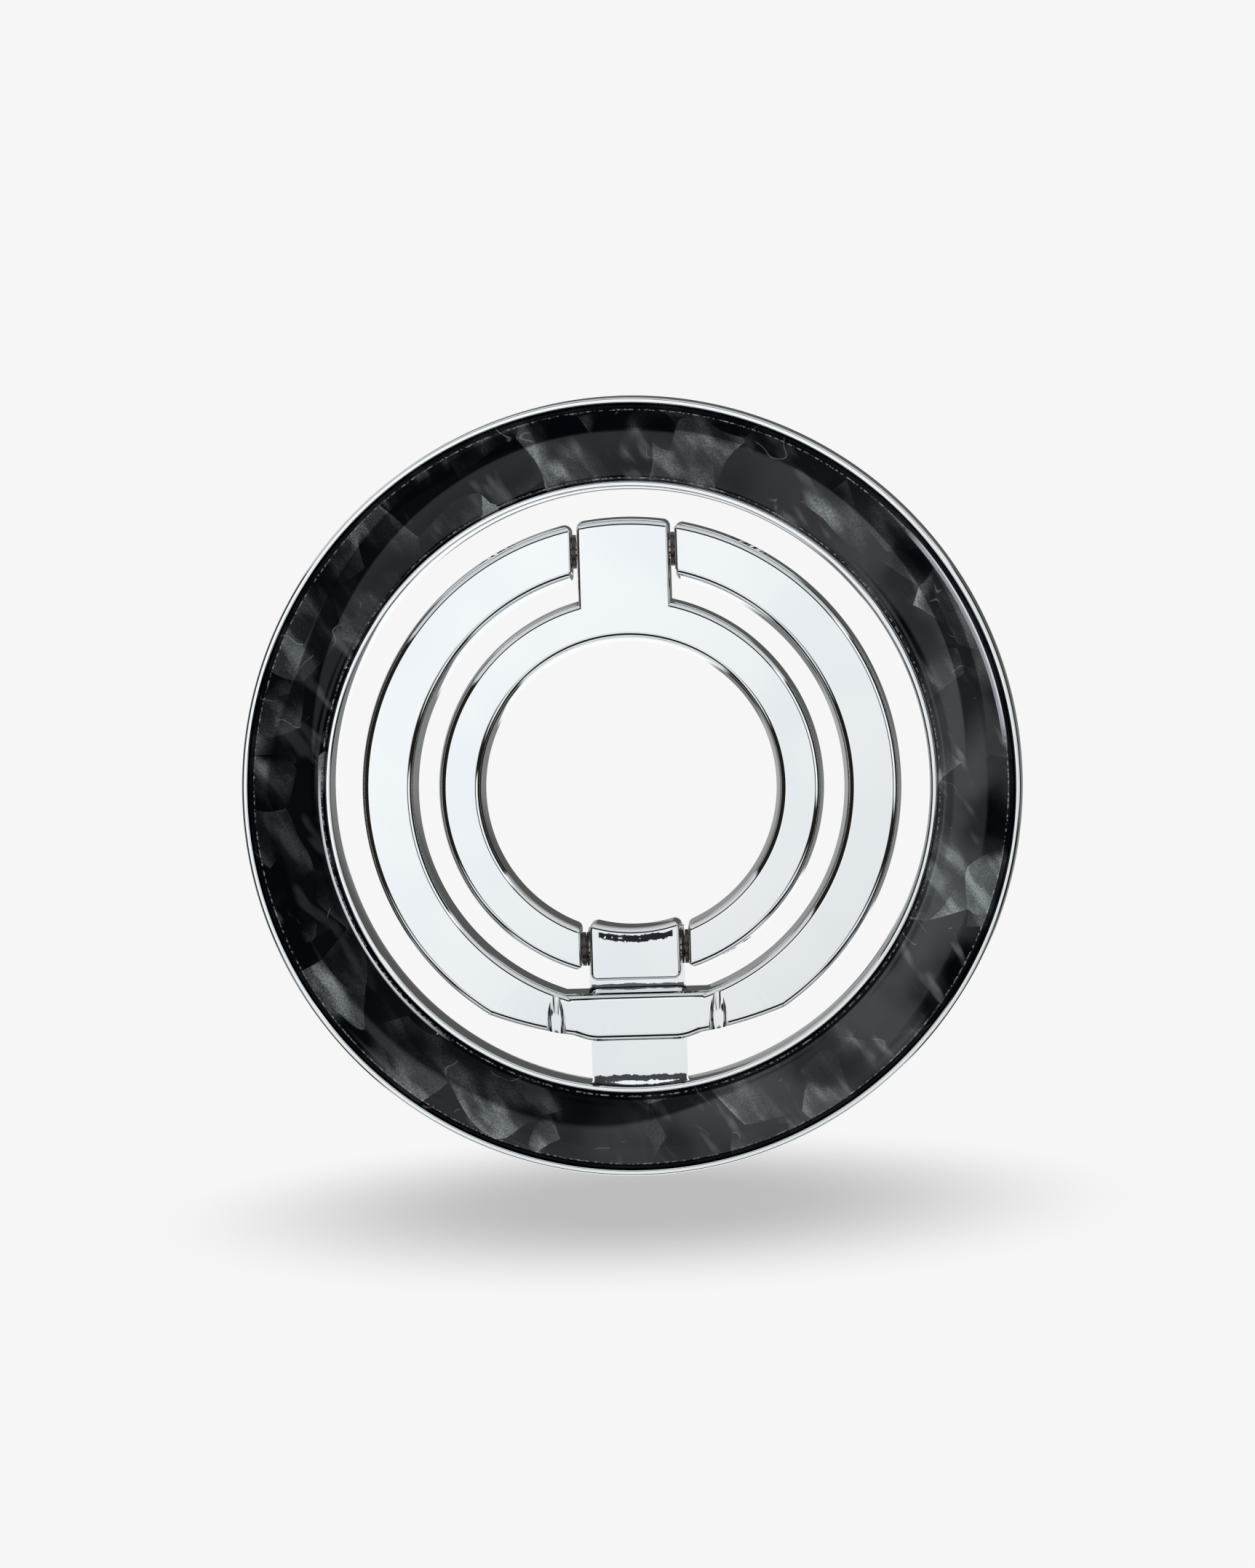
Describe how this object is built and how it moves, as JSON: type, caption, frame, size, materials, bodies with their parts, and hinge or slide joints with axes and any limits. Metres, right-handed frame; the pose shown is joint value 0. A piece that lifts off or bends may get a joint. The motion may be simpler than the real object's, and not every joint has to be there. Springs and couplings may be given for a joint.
{
  "type": "phone ring holder",
  "caption": "Flat magnetic ring holder for a phone's back, with two nested folding rings on friction hinges and a pearl resin inlay in its base ring.",
  "frame": {"origin": "centre of the back face, the one that meets the phone", "axes": "+Z points out of the phone, +Y towards the tab of the inner ring, +X along the hinge axes"},
  "size_m": [0.058, 0.058, 0.0055],
  "materials": {
    "chrome": "polished plating",
    "pearl_resin": "glossy, with pearl flakes in it",
    "steel": "cold rolled",
    "magnet": "nickel plated",
    "tape": "adhesive film",
    "pad": "matt",
    "pin": "turned",
    "washer": "stamped",
    "spring_washer": "stamped"
  },
  "bodies": {
    "base": {"base_frame": "chrome", "inlay_ring": "pearl_resin", "inlay_tape": "tape", "steel_shield": "steel", "magnet_01": "magnet", "magnet_02": "magnet", "magnet_03": "magnet", "magnet_04": "magnet", "magnet_05": "magnet", "magnet_06": "magnet", "magnet_07": "magnet", "magnet_08": "magnet", "magnet_09": "magnet", "magnet_10": "magnet", "magnet_11": "magnet", "magnet_12": "magnet", "magnet_13": "magnet", "magnet_14": "magnet", "magnet_15": "magnet", "magnet_16": "magnet", "magnet_17": "magnet", "magnet_18": "magnet", "pad_tape": "tape", "back_pad": "pad"},
    "inner": {"inner_ring": "chrome", "lower_hinge_pin": "pin", "lower_washer_left": "washer", "lower_washer_right": "washer", "lower_spring_washer_left": "spring_washer", "lower_spring_washer_right": "spring_washer"},
    "upper_pin": {"upper_hinge_pin": "pin", "upper_washer_left": "washer", "upper_washer_right": "washer"},
    "middle": {"middle_ring": "chrome"}
  },
  "joints": [
    {"name": "lower_hinge", "type": "hinge", "parent": "base", "child": "inner", "pos_m": [0, -0.01187, 0.0037], "axis": [1, 0, 0], "range_deg": [0, 150]},
    {"name": "upper_pin_follow", "type": "hinge", "parent": "inner", "child": "upper_pin", "pos_m": [0, 0.01744, 0.0037], "axis": [-1, 0, 0], "range_deg": [0, 150]},
    {"name": "upper_hinge", "type": "hinge", "parent": "upper_pin", "child": "middle", "pos_m": [0, 0.01744, 0.0037], "axis": [-1, 0, 0], "range_deg": [0, 90]}
  ],
  "couplings": [
    {"joint": "upper_pin_follow", "follows": "lower_hinge", "ratio": 1}
  ]
}
